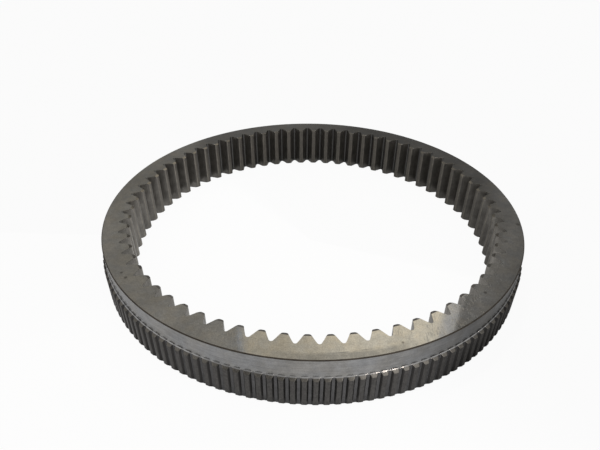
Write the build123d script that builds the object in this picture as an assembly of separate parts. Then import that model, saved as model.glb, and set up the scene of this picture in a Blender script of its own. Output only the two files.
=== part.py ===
import math
import os

from build123d import *

# Internal ring gear, millimetres. +Z runs along the gear axis, Z = 0 is the lower face.
# The first internal tooth is centred on +X.

# Internal involute teeth, full height
gear_teeth = 68
gear_module = 4.0
pressure_angle = 25.0
gear_tooth_depth = 7.6
gear_tip_land = 3.1         # width of each tooth at its tip circle
root_round_height = 0.75    # the flanks end this far short of the root circle
bore_bevel_out = 1.8        # radial reach of the shallow bevel across the tooth tips
bore_bevel_down = 0.6       # its depth along the axis

# Ring and its smooth collar
ring_height = 36.5
rim_thickness = 11.4        # from the gear roots out to the collar
collar_height = 13.6
collar_edge_break = 0.55    # 45 degree break round the upper rim
collar_ledge = 0.2          # narrow step between the foot of the collar and the bevel below it

# External spline, from the lower face up to the foot of the collar
spline_teeth = 156
spline_start_deg = 1.905    # angle of the first spline tooth from +X
spline_step = 0.3           # the roots stand this far outside the collar
spline_depth = 1.7
spline_tip_land = 2.55      # width of the land on top of each tooth
spline_flank_angle = 30.0   # slope of each flank, from the tooth's middle plane
lower_bevel = 2.1           # 45 degree bevel under the teeth

cutter_margin = 2.0         # blank and toothed prism run this far past each other

# Sizes that follow from these
gear_tip_radius = gear_module * gear_teeth / 2
gear_root_radius = gear_tip_radius + gear_tooth_depth
collar_radius = gear_root_radius + rim_thickness
spline_root_radius = collar_radius + spline_step
spline_tip_radius = spline_root_radius + spline_depth
shoulder_height = ring_height - collar_height


def polar(radius, angle):
    return Vector(radius * math.cos(angle), radius * math.sin(angle))


def involute(angle):
    return math.tan(angle) - angle


def gear_half_angle(radius):
    """Half the angle that an internal tooth fills at this radius."""
    base_radius = gear_tip_radius * math.cos(math.radians(pressure_angle))
    at_tip = involute(math.acos(base_radius / gear_tip_radius))
    here = involute(math.acos(base_radius / radius))
    return gear_tip_land / 2 / gear_tip_radius + here - at_tip


def bore_outline():
    """Closed outline of the toothed bore: tip land, flank, root round, flank, tooth after tooth."""
    pitch = 2 * math.pi / gear_teeth
    flank_end = gear_root_radius - root_round_height
    flank_middle = (gear_tip_radius + flank_end) / 2
    tip_half = gear_half_angle(gear_tip_radius)
    middle_half = gear_half_angle(flank_middle)
    root_half = gear_half_angle(flank_end)
    edges = []
    for tooth in range(gear_teeth):
        here = pitch * tooth
        after = here + pitch
        tip_start = polar(gear_tip_radius, here - tip_half)
        tip_end = polar(gear_tip_radius, here + tip_half)
        root_start = polar(flank_end, here + root_half)
        root_end = polar(flank_end, after - root_half)
        next_tip = polar(gear_tip_radius, after - tip_half)
        edges += [
            ThreePointArc(tip_start, polar(gear_tip_radius, here), tip_end),
            ThreePointArc(tip_end, polar(flank_middle, here + middle_half), root_start),
            ThreePointArc(root_start, polar(gear_root_radius, here + pitch / 2), root_end),
            ThreePointArc(root_end, polar(flank_middle, after - middle_half), next_tip),
        ]
    return Wire(Curve(edges).edges())


def spline_outline():
    """Closed outline of the external spline, four corners to each tooth."""
    flank_reach = spline_depth * math.tan(math.radians(spline_flank_angle))
    tip_half = spline_tip_land / 2 / spline_tip_radius
    foot_half = (spline_tip_land / 2 + flank_reach) / spline_root_radius
    corners = []
    for tooth in range(spline_teeth):
        middle = math.radians(spline_start_deg) + 2 * math.pi / spline_teeth * tooth
        corners += [
            polar(spline_root_radius, middle - foot_half),
            polar(spline_tip_radius, middle - tip_half),
            polar(spline_tip_radius, middle + tip_half),
            polar(spline_root_radius, middle + foot_half),
        ]
    return Wire.make_polygon(corners, close=True)


def collar_ring():
    """Turned ring with the collar, the rim's edge break and the bore bevels."""
    inside = gear_tip_radius - cutter_margin
    bore_edge = gear_tip_radius + bore_bevel_out
    bore_rise = bore_bevel_down / bore_bevel_out * (bore_edge - inside)
    skirt_seat = collar_radius - rim_thickness / 4
    section = Polyline(
        (inside, bore_rise),
        (bore_edge, 0),
        (skirt_seat, 0),
        (skirt_seat, shoulder_height / 2),
        (collar_radius, shoulder_height / 2),
        (collar_radius, ring_height - collar_edge_break),
        (collar_radius - collar_edge_break, ring_height),
        (bore_edge, ring_height),
        (inside, ring_height - bore_rise),
        close=True,
    )
    return revolve(Plane.XZ * make_face(section.edges()), Axis.Z)


def bevelled_skirt():
    """Skirt that the spline is cut from: one flat to each tooth, bevelled above and below."""
    half_pitch = 180 / spline_teeth
    flats = RegularPolygon(
        spline_tip_radius, spline_teeth, major_radius=False, rotation=spline_start_deg + half_pitch
    )
    skirt = extrude(flats - Circle(collar_radius - rim_thickness / 2), shoulder_height)
    upper_bevel = spline_tip_radius - collar_radius - collar_ledge
    upper_rim = skirt.faces().sort_by(Axis.Z)[-1].outer_wire().edges()
    skirt = chamfer(upper_rim, upper_bevel)
    lower_rim = skirt.faces().sort_by(Axis.Z)[0].outer_wire().edges()
    return chamfer(lower_rim, lower_bevel)


outlines = Face(spline_outline(), [bore_outline()])
toothed = extrude(outlines, ring_height + 2 * cutter_margin, dir=(0, 0, 1))
blank = collar_ring() + bevelled_skirt()
ring_gear = (blank & Pos(0, 0, -cutter_margin) * toothed).solid()

os.makedirs("parts", exist_ok=True)
export_step(ring_gear, "parts/ring_gear.step")
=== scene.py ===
import math

import bmesh
import bpy
from mathutils import Matrix, Vector

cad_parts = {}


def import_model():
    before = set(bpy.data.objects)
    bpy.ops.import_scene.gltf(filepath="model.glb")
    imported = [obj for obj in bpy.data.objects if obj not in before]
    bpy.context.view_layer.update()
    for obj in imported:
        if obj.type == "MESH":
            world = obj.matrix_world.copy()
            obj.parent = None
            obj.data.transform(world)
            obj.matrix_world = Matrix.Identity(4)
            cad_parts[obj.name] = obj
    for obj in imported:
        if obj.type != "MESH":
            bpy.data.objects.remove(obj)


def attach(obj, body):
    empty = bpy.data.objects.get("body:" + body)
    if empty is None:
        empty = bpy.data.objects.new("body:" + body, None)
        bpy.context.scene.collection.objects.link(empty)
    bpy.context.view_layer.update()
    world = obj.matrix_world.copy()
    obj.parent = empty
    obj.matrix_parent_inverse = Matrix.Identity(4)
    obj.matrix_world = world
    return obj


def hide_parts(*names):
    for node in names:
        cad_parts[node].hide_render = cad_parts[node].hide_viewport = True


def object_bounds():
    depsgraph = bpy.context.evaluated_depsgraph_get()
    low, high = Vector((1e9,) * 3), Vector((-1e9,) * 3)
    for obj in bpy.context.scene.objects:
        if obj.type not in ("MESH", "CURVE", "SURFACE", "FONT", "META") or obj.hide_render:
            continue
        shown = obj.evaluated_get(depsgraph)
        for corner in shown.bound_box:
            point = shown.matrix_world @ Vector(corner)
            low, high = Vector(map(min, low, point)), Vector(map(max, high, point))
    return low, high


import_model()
cad_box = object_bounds()

# Internal ring gear, one machined piece. Sizes are millimetres until MM brings them to metres.
MM = 0.001

# Internal teeth
GEAR_TEETH = 68
GEAR_TIP_RADIUS = 136.0
GEAR_ROOT_RADIUS = 143.6
GEAR_TIP_LAND = 3.1
GEAR_TIP_ROUND = 1.0  # rounding starts this far before the tip corner on both sides
PRESSURE_ANGLE = math.radians(25)
ROOT_ROUND_HEIGHT = 0.75
BORE_BEVEL_OUT = 1.8
BORE_BEVEL_DOWN = 0.6
EDGE_BREAK = 0.18  # fine break on the ends of the internal teeth

# Ring and collar
RING_HEIGHT = (cad_box[1].z - cad_box[0].z) / MM
COLLAR_RADIUS = 155.0
COLLAR_HEIGHT = 13.6
COLLAR_EDGE_BREAK = 0.55
COLLAR_LEDGE = 0.5  # foot of the collar, above the tooth bevels
LEDGE_SLOPE = 1.5  # rise of the slant at that foot for each millimetre of its width
BEVEL_SLOPE = 0.85
FACE_EDGE = 0.15  # the flat faces start this far inside their edge breaks

# External spline
SPLINE_TEETH = 156
SPLINE_START = math.radians(1.905)
SPLINE_ROOT_RADIUS = 155.3
SPLINE_TIP_RADIUS = 157.0
SPLINE_TIP_LAND = 2.55
SPLINE_FLANK_ANGLE = math.radians(30)
SPLINE_CORNER = 0.16
LOWER_BEVEL = 2.1


def rounded(path, reaches, all_steps):
    """The path with corners eased by small curves. A reach is the distance before and after the corner."""
    points = []
    for place, (corner, reach, steps) in enumerate(zip(path, reaches, all_steps)):
        if not steps:
            points.append(tuple(corner))
            continue
        reach_in, reach_out = reach if isinstance(reach, tuple) else (reach, reach)
        corner = Vector(corner)
        before = corner + (Vector(path[place - 1]) - corner).normalized() * reach_in
        after = corner + (Vector(path[place + 1]) - corner).normalized() * reach_out
        for step in range(steps + 1):
            t = step / steps
            points.append(tuple(before * (1 - t) ** 2 + corner * 2 * t * (1 - t) + after * t**2))
    return points


# ---------------------------------------------------------------- outlines as (angle, radius)
def involute(angle):
    return math.tan(angle) - angle


def gear_half_angle(radius):
    base = GEAR_TIP_RADIUS * math.cos(PRESSURE_ANGLE)
    at_tip = involute(math.acos(base / GEAR_TIP_RADIUS))
    here = involute(math.acos(base / radius))
    return GEAR_TIP_LAND / 2 / GEAR_TIP_RADIUS + here - at_tip


def gear_pitch_outline():
    """Half a tooth, the gap after it and half the next tooth."""
    pitch = 2 * math.pi / GEAR_TEETH
    flank_end = GEAR_ROOT_RADIUS - ROOT_ROUND_HEIGHT
    flank_start = GEAR_TIP_RADIUS + GEAR_TIP_ROUND * math.cos(PRESSURE_ANGLE)
    corner = (gear_half_angle(GEAR_TIP_RADIUS) * GEAR_TIP_RADIUS, GEAR_TIP_RADIUS)
    below = (gear_half_angle(flank_start) * flank_start, flank_start)
    eased = rounded([(0.0, GEAR_TIP_RADIUS), corner, below], [0, GEAR_TIP_ROUND, 0], [0, 5, 0])
    half = [(across / radius, radius) for across, radius in eased]
    flank_steps = 6
    for step in range(1, flank_steps + 1):
        radius = flank_start + (flank_end - flank_start) * step / flank_steps
        half.append((gear_half_angle(radius), radius))
    gap_half = (pitch / 2 - gear_half_angle(flank_end)) * flank_end
    round_radius = (gap_half**2 + ROOT_ROUND_HEIGHT**2) / (2 * ROOT_ROUND_HEIGHT)
    sweep = math.asin(gap_half / round_radius)
    if round_radius < ROOT_ROUND_HEIGHT:
        sweep = math.pi - sweep
    round_steps = 5
    for step in range(1, round_steps + 1):
        turn = sweep * (1 - step / round_steps)
        radius = GEAR_ROOT_RADIUS - round_radius * (1 - math.cos(turn))
        half.append((pitch / 2 - round_radius * math.sin(turn) / radius, radius))
    other = [(pitch - angle, radius) for angle, radius in reversed(half[1:-1])]
    return half + other


def spline_pitch_outline():
    """One external tooth with half a groove on each side."""
    half_pitch = math.pi / SPLINE_TEETH
    tip = SPLINE_TIP_LAND / 2
    foot = tip + (SPLINE_TIP_RADIUS - SPLINE_ROOT_RADIUS) * math.tan(SPLINE_FLANK_ANGLE)
    path = [
        (-half_pitch * SPLINE_ROOT_RADIUS, SPLINE_ROOT_RADIUS),
        (-foot, SPLINE_ROOT_RADIUS),
        (-tip, SPLINE_TIP_RADIUS),
        (0.0, SPLINE_TIP_RADIUS),
        (tip, SPLINE_TIP_RADIUS),
        (foot, SPLINE_ROOT_RADIUS),
    ]
    path.append((half_pitch * SPLINE_ROOT_RADIUS, SPLINE_ROOT_RADIUS))
    steps = [0, 2, 2, 0, 2, 2, 0]
    eased = rounded(path, [SPLINE_CORNER] * len(path), steps)[:-1]
    return [(across / radius, radius) for across, radius in eased]


def repeated(pitch_outline, teeth, start):
    pitch = 2 * math.pi / teeth
    return [
        (start + pitch * tooth + angle, radius)
        for tooth in range(teeth)
        for angle, radius in pitch_outline
    ]


# ---------------------------------------------------------------- columns of (radius, height)
FACE, RIM, COLLAR, LEDGE, BEVEL, SPLINE, GEAR = range(7)
SHARP_ANGLE = math.radians(31)


def zoned(path, reaches, steps, zones):
    """Eased points, and for each stretch between them the zone of the run that it starts or lies on."""
    finish = []
    for place, zone in enumerate(zones):
        finish += [zone] * (1 + steps[place])
    return rounded(path, reaches, steps), finish


def outer_column(radius):
    """From the upper face down the outside to the lower face, where the spline has this radius."""
    shoulder = RING_HEIGHT - COLLAR_HEIGHT
    foot = min(COLLAR_RADIUS + COLLAR_LEDGE, radius - 0.02)
    bevel_foot = LOWER_BEVEL - (SPLINE_TIP_RADIUS - radius)
    corner = min(0.12, 0.4 * (radius - foot))
    path = [
        (COLLAR_RADIUS - COLLAR_EDGE_BREAK - FACE_EDGE, RING_HEIGHT),
        (COLLAR_RADIUS - COLLAR_EDGE_BREAK, RING_HEIGHT),
        (COLLAR_RADIUS, RING_HEIGHT - COLLAR_EDGE_BREAK),
        (COLLAR_RADIUS, shoulder + COLLAR_HEIGHT / 2),
        (COLLAR_RADIUS, shoulder),
        (foot, shoulder),
        (radius, shoulder - (radius - foot) * BEVEL_SLOPE),
        (radius, (shoulder + bevel_foot) / 2),
        (radius, bevel_foot),
        (SPLINE_TIP_RADIUS - LOWER_BEVEL, 0.0),
        (SPLINE_TIP_RADIUS - LOWER_BEVEL - FACE_EDGE, 0.0),
    ]
    wide = 0.85 * (foot - COLLAR_RADIUS)
    slant = (LEDGE_SLOPE * wide, wide)
    reaches = [0, 0.1, 0, 0, slant, (0.03, corner / 2), corner, 0, corner, 0.1, 0]
    steps = [0, 2, 0, 0, 1, 2, 3, 0, 3, 2, 0]
    zones = [FACE, RIM, COLLAR, COLLAR, LEDGE, BEVEL, SPLINE, SPLINE, BEVEL, FACE]
    return zoned(path, reaches, steps, zones)


def inner_column(radius):
    """From the lower face up the bore to the upper face, where the teeth have this radius."""
    bevel_end = GEAR_TIP_RADIUS + BORE_BEVEL_OUT
    fall = BORE_BEVEL_DOWN * max(0.0, bevel_end - radius) / BORE_BEVEL_OUT + EDGE_BREAK
    face = max(bevel_end, radius) + EDGE_BREAK
    path = [
        (face, 0.0),
        (radius, fall),
        (radius, RING_HEIGHT / 2),
        (radius, RING_HEIGHT - fall),
        (face, RING_HEIGHT),
    ]
    return zoned(path, [0] * len(path), [0] * len(path), [BEVEL, GEAR, GEAR, BEVEL])


# ---------------------------------------------------------------- mesh
def add_columns(mesh, outline, column):
    """A closed wall of quads. Returns its first and last rows of vertices."""
    rows = []
    for angle, radius in outline:
        points, finish = column(radius)
        rows.append([
            mesh.verts.new(Vector((r * math.cos(angle), r * math.sin(angle), z)) * MM)
            for r, z in points
        ])
    for here, after in zip(rows, rows[1:] + rows[:1]):
        for step in range(len(here) - 1):
            quad = mesh.faces.new((here[step], here[step + 1], after[step + 1], after[step]))
            quad.smooth = True
            quad.material_index = finish[step]
    return [row[0] for row in rows], [row[-1] for row in rows]


def add_flat(mesh, outer, inner):
    """Flat face between two closed loops, both counted anticlockwise from the same start."""

    def angles(loop):
        turns = [math.atan2(v.co.y, v.co.x) % (2 * math.pi) for v in loop]
        first = turns.index(min(turns))
        ordered = loop[first:] + loop[:first]
        return ordered, turns[first:] + turns[:first]

    (outer, outer_turns), (inner, inner_turns) = angles(outer), angles(inner)
    outer_turns.append(2 * math.pi + outer_turns[0])
    inner_turns.append(2 * math.pi + inner_turns[0])
    i = j = 0
    while i < len(outer) or j < len(inner):
        step_out = j == len(inner) or (i < len(outer) and outer_turns[i + 1] <= inner_turns[j + 1])
        here_out, here_in = outer[i % len(outer)], inner[j % len(inner)]
        if step_out:
            i += 1
            corners = (here_out, outer[i % len(outer)], here_in)
        else:
            j += 1
            corners = (here_out, inner[j % len(inner)], here_in)
        flat = mesh.faces.new(corners)
        flat.smooth = False
        flat.material_index = FACE


def build_ring():
    mesh = bmesh.new()
    outside = repeated(spline_pitch_outline(), SPLINE_TEETH, SPLINE_START)
    inside = repeated(gear_pitch_outline(), GEAR_TEETH, 0.0)
    top_outer, bottom_outer = add_columns(mesh, outside, outer_column)
    bottom_inner, top_inner = add_columns(mesh, inside, inner_column)
    add_flat(mesh, top_outer, top_inner)
    add_flat(mesh, bottom_outer, bottom_inner)
    bmesh.ops.recalc_face_normals(mesh, faces=mesh.faces)
    for edge in mesh.edges:
        flats = sum(not face.smooth for face in edge.link_faces)
        zones = {face.material_index for face in edge.link_faces}
        at_foot = zones == {COLLAR, LEDGE}
        edge.smooth = flats == 0 and not at_foot and edge.calc_face_angle(0.0) < SHARP_ANGLE
    data = bpy.data.meshes.new("ring_gear_dressed")
    mesh.to_mesh(data)
    mesh.free()
    ring = bpy.data.objects.new("ring_gear_dressed", data)
    bpy.context.scene.collection.objects.link(ring)
    return ring


# ---------------------------------------------------------------- materials
class Tree:
    """Short calls for building a node tree."""

    def __init__(self, tree):
        self.tree = tree

    def node(self, kind, **settings):
        made = self.tree.nodes.new(kind)
        for key, value in settings.items():
            setattr(made, key, value)
        return made

    def link(self, source, target):
        if isinstance(source, (int, float, tuple)):
            target.default_value = source
        else:
            self.tree.links.new(source, target)

    def math(self, operation, *values):
        made = self.node("ShaderNodeMath", operation=operation)
        for value, socket in zip(values, made.inputs):
            self.link(value, socket)
        return made.outputs[0]

    def span(self, value, low, high, to_low=0.0, to_high=1.0):
        made = self.node("ShaderNodeMapRange", interpolation_type="SMOOTHSTEP")
        for source, socket in zip((value, low, high, to_low, to_high), made.inputs):
            self.link(source, socket)
        return made.outputs[0]

    def mix(self, share, first, second):
        made = self.node("ShaderNodeMix", data_type="RGBA")
        self.link(share, made.inputs["Factor"])
        self.link(first, made.inputs[6])
        self.link(second, made.inputs[7])
        return made.outputs[2]

    def level(self, share, first, second):
        """First or second or a number between them, by share."""
        rest = self.math("SUBTRACT", 1.0, share)
        return self.math("ADD", self.times(first, rest), self.times(second, share))

    def vector(self, x, y, z):
        made = self.node("ShaderNodeCombineXYZ")
        for source, socket in zip((x, y, z), made.inputs):
            self.link(source, socket)
        return made.outputs[0]

    def noise(self, vector, scale=1.0, detail=4.0, roughness=0.6):
        made = self.node("ShaderNodeTexNoise")
        self.link(vector, made.inputs["Vector"])
        made.inputs["Scale"].default_value = scale
        made.inputs["Detail"].default_value = detail
        made.inputs["Roughness"].default_value = roughness
        return made.outputs[0]

    def times(self, *values):
        made = values[0]
        for value in values[1:]:
            made = self.math("MULTIPLY", made, value)
        return made

    def shade(self, colour, level):
        made = self.node("ShaderNodeVectorMath", operation="SCALE")
        self.link(colour, made.inputs[0])
        self.link(level, made.inputs["Scale"])
        return made.outputs[0]

    def band(self, value, low, high, soft):
        """1 between low and high, 0 outside."""
        inside = self.span(value, low - soft, low + soft)
        return self.times(inside, self.span(value, high - soft, high + soft, 1.0, 0.0))


class Steel(Tree):
    """A metal material with coordinates in millimetres and degrees round the axis."""

    def __init__(self, name, metallic=1.0):
        self.material = bpy.data.materials.new(name)
        self.material.use_nodes = True
        super().__init__(self.material.node_tree)
        self.shader = self.tree.nodes["Principled BSDF"]
        self.shader.inputs["Metallic"].default_value = metallic
        self.place = self.shade(self.node("ShaderNodeTexCoord").outputs["Object"], 1 / MM)
        split = self.node("ShaderNodeSeparateXYZ")
        self.link(self.place, split.inputs[0])
        self.x, self.y, self.z = split.outputs
        squares = self.math("ADD", self.times(self.x, self.x), self.times(self.y, self.y))
        self.radius = self.math("SQRT", squares)
        self.angle = self.times(self.math("ARCTAN2", self.y, self.x), math.degrees(1))

    def stretched(self, *sizes):
        """Noise coordinates over x, y, z with a grain of these sizes in millimetres."""
        axes = zip((self.x, self.y, self.z), sizes)
        return self.vector(*(self.times(axis, 1 / size) for axis, size in axes))

    def turned(self, across, along, down=None):
        """Noise coordinates that follow the turning: across in millimetres, along in degrees."""
        return self.vector(self.times(self.radius, 1 / across), self.times(self.z, 1 / (down or across)),
                           self.times(self.angle, 1 / along))

    def cloud(self, size, low, high, detail=4.0):
        """Soft patches of about this size in millimetres, as a level from low to high."""
        return self.span(self.noise(self.place, 1 / size, detail), 0.32, 0.68, low, high)

    def near(self, x, y, reach):
        """1 at a point on the upper face, falling to 0 at the reach."""
        away = self.math("ADD", self.math("POWER", self.math("SUBTRACT", self.x, x), 2.0),
                         self.math("POWER", self.math("SUBTRACT", self.y, y), 2.0))
        return self.span(self.math("SQRT", away), reach * 0.4, reach, 1.0, 0.0)

    def finish(self, colour, roughness, height, depth):
        self.link(colour, self.shader.inputs["Base Color"])
        self.link(roughness, self.shader.inputs["Roughness"])
        bump = self.node("ShaderNodeBump")
        bump.inputs["Strength"].default_value = 1.0
        bump.inputs["Distance"].default_value = depth * MM
        self.link(height, bump.inputs["Height"])
        self.link(bump.outputs[0], self.shader.inputs["Normal"])
        return self.material

    def oxide(self, level):
        """Keeps the mirror at a glancing view down to this share of white."""
        self.shader.inputs["Specular Tint"].default_value = (level, level, level, 1)

    def brushed(self, amount):
        """Grooves that run round the axis."""
        self.shader.inputs["Anisotropic"].default_value = amount
        self.shader.inputs["Anisotropic Rotation"].default_value = 0.25
        tangent = self.node("ShaderNodeTangent", direction_type="RADIAL", axis="Z")
        self.link(tangent.outputs[0], self.shader.inputs["Tangent"])


# Small dark marks on the upper face: x, y and reach in millimetres
SPECKS = (
    (-114.8, -94.0, 1.5),
    (-119.0, -89.4, 1.3),
    (106.7, -99.0, 1.5),
    (150.6, -24.4, 2.2),
    (51.3, -140.7, 1.0),
)


def ground_face():
    steel = Steel("ground_face")
    grain = steel.noise(steel.place, 1 / 0.7, 2.0, 0.7)
    rings = steel.noise(steel.turned(0.5, 3.0), 1.0, 3.0)
    level = steel.times(
        steel.span(grain, 0.25, 0.75, 0.84, 1.16),
        steel.cloud(22.0, 0.90, 1.08),
        steel.cloud(3.0, 0.93, 1.07),
        steel.span(rings, 0.3, 0.7, 0.96, 1.04),
    )
    warm, cool = (0.275, 0.262, 0.238, 1), (0.235, 0.240, 0.245, 1)
    colour = steel.mix(steel.cloud(9.0, 0.0, 0.6), warm, cool)
    # Handling marks: dull arcs near the rim, short scores, a few specks
    arc_noise = steel.noise(steel.turned(2.0, 11.0), 1.0, 2.0, 0.4)
    arcs = steel.times(steel.span(arc_noise, 0.54, 0.60), steel.band(steel.radius, 147.8, 151.5, 0.8),
                       steel.band(steel.angle, -86.0, -66.0, 4.0))
    edge_wear = steel.times(steel.span(steel.radius, 148.8, 151.8), steel.cloud(10.0, 0.65, 1.0),
                            steel.band(steel.angle, -94.0, -69.0, 5.0))
    score_noise = steel.noise(steel.stretched(0.5, 5.0, 5.0), 1.0, 2.0, 0.5)
    scores = steel.times(steel.span(score_noise, 0.60, 0.66), steel.cloud(8.0, 0.0, 1.0))
    scuffed = steel.times(scores, steel.band(steel.angle, -72.0, -58.0, 2.0))
    specks = 0.0
    for x, y, reach in SPECKS:
        specks = steel.math("MAXIMUM", specks, steel.near(x, y, reach))
    dull = steel.math("MAXIMUM", steel.times(arcs, 0.9), steel.times(edge_wear, 0.9))
    dull = steel.math("MAXIMUM", dull, steel.times(scuffed, 0.7))
    colour = steel.mix(dull, colour, (0.140, 0.142, 0.146, 1))
    colour = steel.mix(steel.times(specks, 0.6), colour, (0.05, 0.045, 0.04, 1))
    colour = steel.shade(colour, level)
    roughness = steel.math("ADD", steel.cloud(5.0, 0.04, 0.075), steel.times(dull, 0.10))
    height = steel.math("SUBTRACT", steel.times(grain, 0.5), steel.math("ADD", scores, specks))
    return steel.finish(colour, roughness, height, 0.004)


def turned_collar():
    steel = Steel("turned_collar")
    steel.oxide(0.8)
    steel.brushed(0.6)
    grooves = steel.noise(steel.turned(0.35, 14.0), 1.0, 3.0)
    streaks = steel.noise(steel.turned(1.6, 5.0), 1.0, 4.0)
    level = steel.times(
        steel.span(grooves, 0.3, 0.7, 0.97, 1.03),
        steel.span(streaks, 0.3, 0.7, 0.90, 1.08),
        steel.cloud(7.0, 0.88, 1.09),
        steel.cloud(0.9, 0.95, 1.05, 2.0),
    )
    colour = steel.mix(steel.cloud(16.0, 0.0, 1.0), (0.300, 0.303, 0.310, 1), (0.292, 0.284, 0.272, 1))
    stain = steel.times(steel.span(steel.noise(steel.turned(1.6, 7.0), 1.0, 3.0), 0.62, 0.70), 0.4)
    colour = steel.mix(stain, colour, (0.13, 0.13, 0.135, 1))
    colour = steel.shade(colour, level)
    roughness = steel.math("ADD", steel.span(streaks, 0.3, 0.7, 0.15, 0.22), steel.times(stain, 0.15))
    return steel.finish(colour, roughness, grooves, 0.002)


def polished_ledge():
    steel = Steel("polished_ledge")
    streaks = steel.noise(steel.turned(0.6, 1.2), 1.0, 3.0)
    colour = steel.shade((0.38, 0.38, 0.385), steel.span(streaks, 0.3, 0.7, 0.85, 1.1))
    return steel.finish(colour, steel.span(streaks, 0.3, 0.7, 0.19, 0.24), streaks, 0.001)


def rolled_spline():
    steel = Steel("rolled_spline", 0.9)
    steel.oxide(0.72)
    upright = steel.noise(steel.stretched(0.5, 0.5, 8.0), 1.0, 3.0)
    crust = steel.noise(steel.place, 1 / 1.6, 5.0, 0.7)
    tips = steel.shade((0.091, 0.087, 0.084), steel.span(crust, 0.3, 0.7, 0.7, 1.3))
    roots = steel.shade((0.118, 0.116, 0.118), steel.cloud(4.0, 0.85, 1.1))
    # The flanks between the teeth are painted darker than tips and roots: painted shade in the grooves
    colour = steel.mix(steel.span(steel.radius, 156.6, 156.85), (0.048, 0.046, 0.045, 1), tips)
    colour = steel.mix(steel.span(steel.radius, 155.36, 155.55), roots, colour)
    # Darker towards the bottom, below 7 mm: painted shade near the floor
    level = steel.times(steel.span(upright, 0.3, 0.7, 0.88, 1.1), steel.span(steel.z, 1.0, 7.0, 0.7, 1.0))
    colour = steel.shade(colour, level)
    roughness = steel.span(crust, 0.3, 0.7, 0.30, 0.48)
    return steel.finish(colour, roughness, steel.math("ADD", crust, upright), 0.012)


def shaped_teeth():
    steel = Steel("shaped_teeth", 0.82)
    steel.oxide(0.8)
    upright = steel.noise(steel.stretched(0.4, 0.4, 14.0), 1.0, 4.0)
    crust = steel.noise(steel.place, 1 / 2.0, 5.0, 0.7)
    flank = steel.shade((0.140, 0.133, 0.122), steel.cloud(6.0, 0.85, 1.15))
    root = (0.11, 0.108, 0.105, 1)
    land = steel.shade((0.124, 0.115, 0.102), steel.span(crust, 0.3, 0.7, 0.85, 1.15))
    # Painted highlight: a light line in patches along the corners of the tooth tips
    painted_tip_highlight = steel.times(steel.band(steel.radius, 136.10, 136.50, 0.08), steel.cloud(5.0, 0.0, 0.7))
    colour = steel.mix(steel.span(steel.radius, 136.05, 136.5), land, flank)
    colour = steel.mix(steel.span(steel.radius, 142.9, 143.4), colour, root)
    colour = steel.mix(painted_tip_highlight, colour, (0.24, 0.22, 0.185, 1))
    colour = steel.shade(colour, steel.span(upright, 0.3, 0.7, 0.85, 1.12))
    roughness = steel.span(crust, 0.3, 0.7, 0.30, 0.45)
    return steel.finish(colour, roughness, steel.math("ADD", crust, upright), 0.010)


def tooth_bevels():
    steel = Steel("tooth_bevels")
    steel.oxide(0.45)
    grain = steel.noise(steel.place, 1 / 0.6, 3.0, 0.7)
    level = steel.times(steel.span(grain, 0.25, 0.75, 0.8, 1.2), steel.cloud(6.0, 0.85, 1.1))
    colour = steel.shade((0.14, 0.132, 0.120), level)
    return steel.finish(colour, steel.span(grain, 0.3, 0.7, 0.20, 0.30), grain, 0.004)


def darkened_rim():
    steel = Steel("darkened_rim", 0.8)
    grain = steel.noise(steel.turned(0.8, 2.0), 1.0, 3.0)
    colour = steel.shade((0.052, 0.044, 0.036), steel.span(grain, 0.3, 0.7, 0.7, 1.5))
    return steel.finish(colour, steel.span(grain, 0.3, 0.7, 0.42, 0.58), grain, 0.006)


def dress(ring):
    finishes = {
        FACE: ground_face(), RIM: darkened_rim(), COLLAR: turned_collar(), LEDGE: polished_ledge(),
        BEVEL: tooth_bevels(), SPLINE: rolled_spline(), GEAR: shaped_teeth(),
    }
    for zone in sorted(finishes):
        ring.data.materials.append(finishes[zone])


# ---------------------------------------------------------------- studio
CAMERA_TURN = math.radians(1.895)
FLOOR_SEEN = 0.95  # share of plain white that the camera sees; the rest takes light and shadow
FLOOR_MIRRORED = 0.5  # the same share as reflections show it
FLOOR_RADIUS = 6.0

# Window in the surroundings: bearings clockwise from +Y and heights over the horizon, in degrees
PANE_BEARINGS = (-11.3, 20.3)
PANE_HEIGHTS = (37.0, 61.0)
JAMB_BEARINGS = (-12.3, 22.4)
JAMB_HEIGHTS = (36.0, 62.0)
SIDE_SOFT = 0.15
SILL_SOFT = 0.4

# Lights: bearing and elevation in degrees and distance in metres, then size in metres and power in watts
LAMP_PLACE = (147, 10, 1.2)
LAMP_TARGET = (0.03, -0.14, 0.03)
LAMP_SIZE = 0.06
LAMP_POWER = 0.4
PANEL_PLACE = (136, 40, 1.8)
PANEL_SIZE = 0.9
PANEL_POWER = 2.7

# Camera: place in collar radii from the middle of the upper face, and angles in degrees
CAMERA_PLACE = (-0.0578, -2.0842, 1.2943)
CAMERA_LENS = 29.325
CAMERA_DOWN = 34.519
CAMERA_ROLL = 0.27


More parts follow.
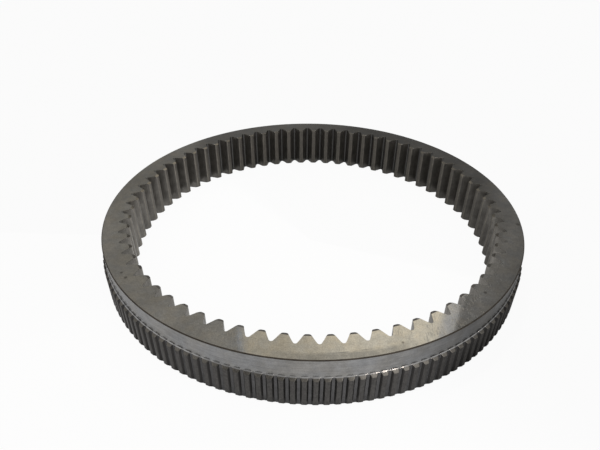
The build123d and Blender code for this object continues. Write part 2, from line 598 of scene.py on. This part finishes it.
def floor():
    mesh = bmesh.new()
    bmesh.ops.create_circle(mesh, cap_ends=True, segments=96, radius=FLOOR_RADIUS)
    data = bpy.data.meshes.new("floor")
    mesh.to_mesh(data)
    mesh.free()
    made = bpy.data.objects.new("floor", data)
    bpy.context.scene.collection.objects.link(made)
    material = bpy.data.materials.new("floor_white")
    material.use_nodes = True
    nodes = material.node_tree.nodes
    nodes.clear()
    tree = Tree(material.node_tree)
    split = tree.node("ShaderNodeSeparateXYZ")
    tree.link(tree.node("ShaderNodeTexCoord").outputs["Object"], split.inputs[0])
    x, y, _ = split.outputs
    turn = tree.times(tree.math("ARCTAN2", y, x), math.degrees(1))
    reach = tree.math("SQRT", tree.math("ADD", tree.times(x, x), tree.times(y, y)))
    # Painted pool of light and shade on the floor. Outside, the light lies in front and to the left, with
    # a painted shadow by the ring on the right. Inside, it is strongest in front, then at the left.
    front = tree.times(tree.span(turn, -76.0, -40.0, 0.95, 0.39), tree.span(turn, -98.0, -88.0, 0.90, 1.0),
                       tree.span(turn, -160.0, -138.0, 0.78, 1.0))
    # Painted shadow of the ring on the floor close to it, on the right
    painted_shadow_right = tree.times(tree.span(turn, -70.0, -50.0), tree.span(reach, 0.1635, 0.1700, 1.0, 0.0))
    outside = tree.times(front, tree.span(painted_shadow_right, 0.0, 1.0, 1.0, 0.5))
    inside = tree.times(tree.span(turn, 118.0, 150.0, 0.62, 1.33),
                        tree.span(turn, -30.0, -15.0, 3.0, 1.0))
    is_inside = tree.span(reach, 0.140, 0.150, 1.0, 0.0)
    painted_floor_light = tree.level(is_inside, outside, inside)
    diffuse = tree.node("ShaderNodeBsdfDiffuse")
    tree.link(tree.shade((0.90, 0.90, 0.90), tree.math("MINIMUM", painted_floor_light, 1.0)), diffuse.inputs["Color"])
    rays = tree.node("ShaderNodeLightPath")
    glow = tree.node("ShaderNodeEmission")
    tree.link(tree.level(rays.outputs["Is Camera Ray"], painted_floor_light, 1.0), glow.inputs["Strength"])
    mirrored = tree.math("MAXIMUM", rays.outputs["Is Glossy Ray"], rays.outputs["Is Transmission Ray"])
    share = tree.math("MAXIMUM", tree.times(rays.outputs["Is Camera Ray"], FLOOR_SEEN),
                      tree.times(mirrored, FLOOR_MIRRORED))
    blend = tree.node("ShaderNodeMixShader")
    tree.link(share, blend.inputs[0])
    tree.link(diffuse.outputs[0], blend.inputs[1])
    tree.link(glow.outputs[0], blend.inputs[2])
    output = tree.node("ShaderNodeOutputMaterial")
    tree.link(blend.outputs[0], output.inputs[0])
    data.materials.append(material)


# Levels of gray round the studio by bearing, in degrees clockwise from +Y
SURROUND = (
    (-180, 0.62), (-168, 0.50), (-152, 0.40), (-137, 0.40), (-127, 0.80), (-110, 0.80), (-97, 0.70),
    (-75, 0.66), (-50, 0.60), (-36, 0.55), (-13, 0.25), (-10, 0.27), (-2, 0.28), (3, 0.22),
    (6, 0.17), (12, 0.195), (19, 0.21), (22, 0.29), (24, 0.44), (25.2, 0.41), (26.6, 0.36),
    (27.6, 0.30), (30, 0.27), (36, 0.30), (60, 0.40), (80, 0.46), (94, 0.62), (109, 0.75),
    (122, 0.68), (150, 0.72), (168, 0.75), (180, 0.62),
)


def surround(tree, bearing):
    ramp = tree.node("ShaderNodeValToRGB")
    stops = ramp.color_ramp.elements
    for turn, level in SURROUND[1:-1]:
        stops.new((turn + 180) / 360)
    for stop, (turn, level) in zip(stops, SURROUND):
        stop.position = (turn + 180) / 360
        stop.color = (level, level, level, 1)
    tree.link(tree.math("MULTIPLY_ADD", bearing, 1 / 360, 0.5), ramp.inputs[0])
    return ramp.outputs[0]


def world():
    """Gray surroundings with one broad soft window high behind the ring. The camera sees plain white."""
    made = bpy.data.worlds.new("studio")
    made.use_nodes = True
    bpy.context.scene.world = made
    tree = Tree(made.node_tree)
    background = made.node_tree.nodes["Background"]
    direction = tree.node("ShaderNodeTexCoord").outputs["Generated"]
    split = tree.node("ShaderNodeSeparateXYZ")
    tree.link(direction, split.inputs[0])
    x, y, z = split.outputs
    bearing = tree.times(tree.math("ARCTAN2", x, y), math.degrees(1))
    height = tree.times(tree.math("ARCSINE", z), math.degrees(1))
    around = tree.shade((1.0, 0.985, 0.955), surround(tree, bearing))
    lower_right = tree.times(tree.band(bearing, 20.0, 25.6, 1.0), tree.span(height, 31.0, 38.0, 1.0, 0.0))
    around = tree.shade(around, tree.span(lower_right, 0.0, 1.0, 1.0, 0.77))
    rise = tree.math("ADD", tree.span(height, 27.5, 30.5, 0.395, 0.515),
                     tree.span(height, 40.0, 43.0, 0.0, 0.10))
    wall = tree.shade((1.0, 0.97, 0.90), rise)
    colour = tree.mix(tree.band(bearing, -33.0, -14.5, 1.0), around, wall)
    beside = tree.times(tree.band(bearing, -33.0, -12.3, 0.3), tree.span(height, 35.0, 37.0))
    colour = tree.mix(beside, colour, wall)
    horizon = tree.times(tree.span(z, 0.24, 0.37, 1.0, 0.0), tree.band(bearing, -48.0, 38.0, 6.0))
    overhead = tree.span(height, 72.0, 78.0)
    colour = tree.mix(overhead, colour, (2.9, 2.9, 2.9, 1))
    jamb = tree.times(tree.band(bearing, *JAMB_BEARINGS, SIDE_SOFT),
                      tree.band(height, *JAMB_HEIGHTS, SILL_SOFT))
    jamb_colour = tree.mix(tree.span(bearing, -1.0, 1.0), (0.80, 0.84, 0.90, 1), (1.25, 1.25, 1.25, 1))
    colour = tree.mix(jamb, colour, jamb_colour)
    pane = tree.times(tree.band(bearing, *PANE_BEARINGS, SIDE_SOFT),
                      tree.band(height, *PANE_HEIGHTS, SILL_SOFT))
    level = tree.math("ADD", tree.span(bearing, -2.0, 7.0, 1.19, 1.90),
                      tree.span(bearing, 15.0, 20.0, 0.0, 0.15))
    level = tree.times(level, tree.span(height, 50.0, 60.0, 1.0, 0.72))
    colour = tree.mix(pane, colour, tree.shade((1.0, 0.93, 0.78), level))
    rays = tree.node("ShaderNodeLightPath")
    shown = tree.math("MAXIMUM", rays.outputs["Is Camera Ray"], rays.outputs["Is Transmission Ray"])
    shown = tree.math("MAXIMUM", shown, tree.times(rays.outputs["Is Glossy Ray"], horizon))
    tree.link(tree.mix(shown, colour, (1, 1, 1, 1)), background.inputs[0])
    background.inputs[1].default_value = 1.0


def area_light(name, place, target, size, power, colour):
    data = bpy.data.lights.new(name, "AREA")
    data.shape = "RECTANGLE"
    data.size = size
    data.size_y = size
    data.energy = power
    data.color = colour
    made = bpy.data.objects.new(name, data)
    made.location = place
    made.rotation_euler = (Vector(target) - Vector(place)).to_track_quat("-Z", "Y").to_euler()
    bpy.context.scene.collection.objects.link(made)


def toward(azimuth, elevation, distance):
    """Azimuth is degrees clockwise from +Y as seen from above."""
    a, e = math.radians(azimuth), math.radians(elevation)
    return Vector((math.sin(a) * math.cos(e), math.cos(a) * math.cos(e), math.sin(e))) * distance


def lights():
    """A small warm lamp and a soft panel, both in front and to the right."""
    area_light("lamp", toward(*LAMP_PLACE), LAMP_TARGET, LAMP_SIZE, LAMP_POWER, (1.0, 0.88, 0.76))
    area_light("panel", toward(*PANEL_PLACE), (0, 0, 0), PANEL_SIZE, PANEL_POWER, (1.0, 0.98, 0.96))


def camera_place():
    unit = COLLAR_RADIUS * MM
    place = Vector(CAMERA_PLACE) * unit + Vector((0, 0, RING_HEIGHT * MM))
    return Matrix.Rotation(CAMERA_TURN, 3, "Z") @ place


def camera():
    turn = Matrix.Rotation(CAMERA_TURN, 3, "Z")
    data = bpy.data.cameras.new("camera")
    data.lens = CAMERA_LENS
    data.sensor_width = 36.0
    made = bpy.data.objects.new("camera", data)
    made.location = camera_place()
    pitch = Matrix.Rotation(math.radians(90 - CAMERA_DOWN), 3, "X")
    roll = Matrix.Rotation(math.radians(CAMERA_ROLL), 3, "Z")
    made.rotation_euler = (turn @ pitch @ roll).to_euler()
    data.clip_start = 0.01
    bpy.context.scene.collection.objects.link(made)
    bpy.context.scene.camera = made


ring = build_ring()
dress(ring)
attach(ring, "root")
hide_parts("ring_gear")

floor()
world()
lights()
camera()
bpy.context.scene.view_settings.view_transform = "Standard"
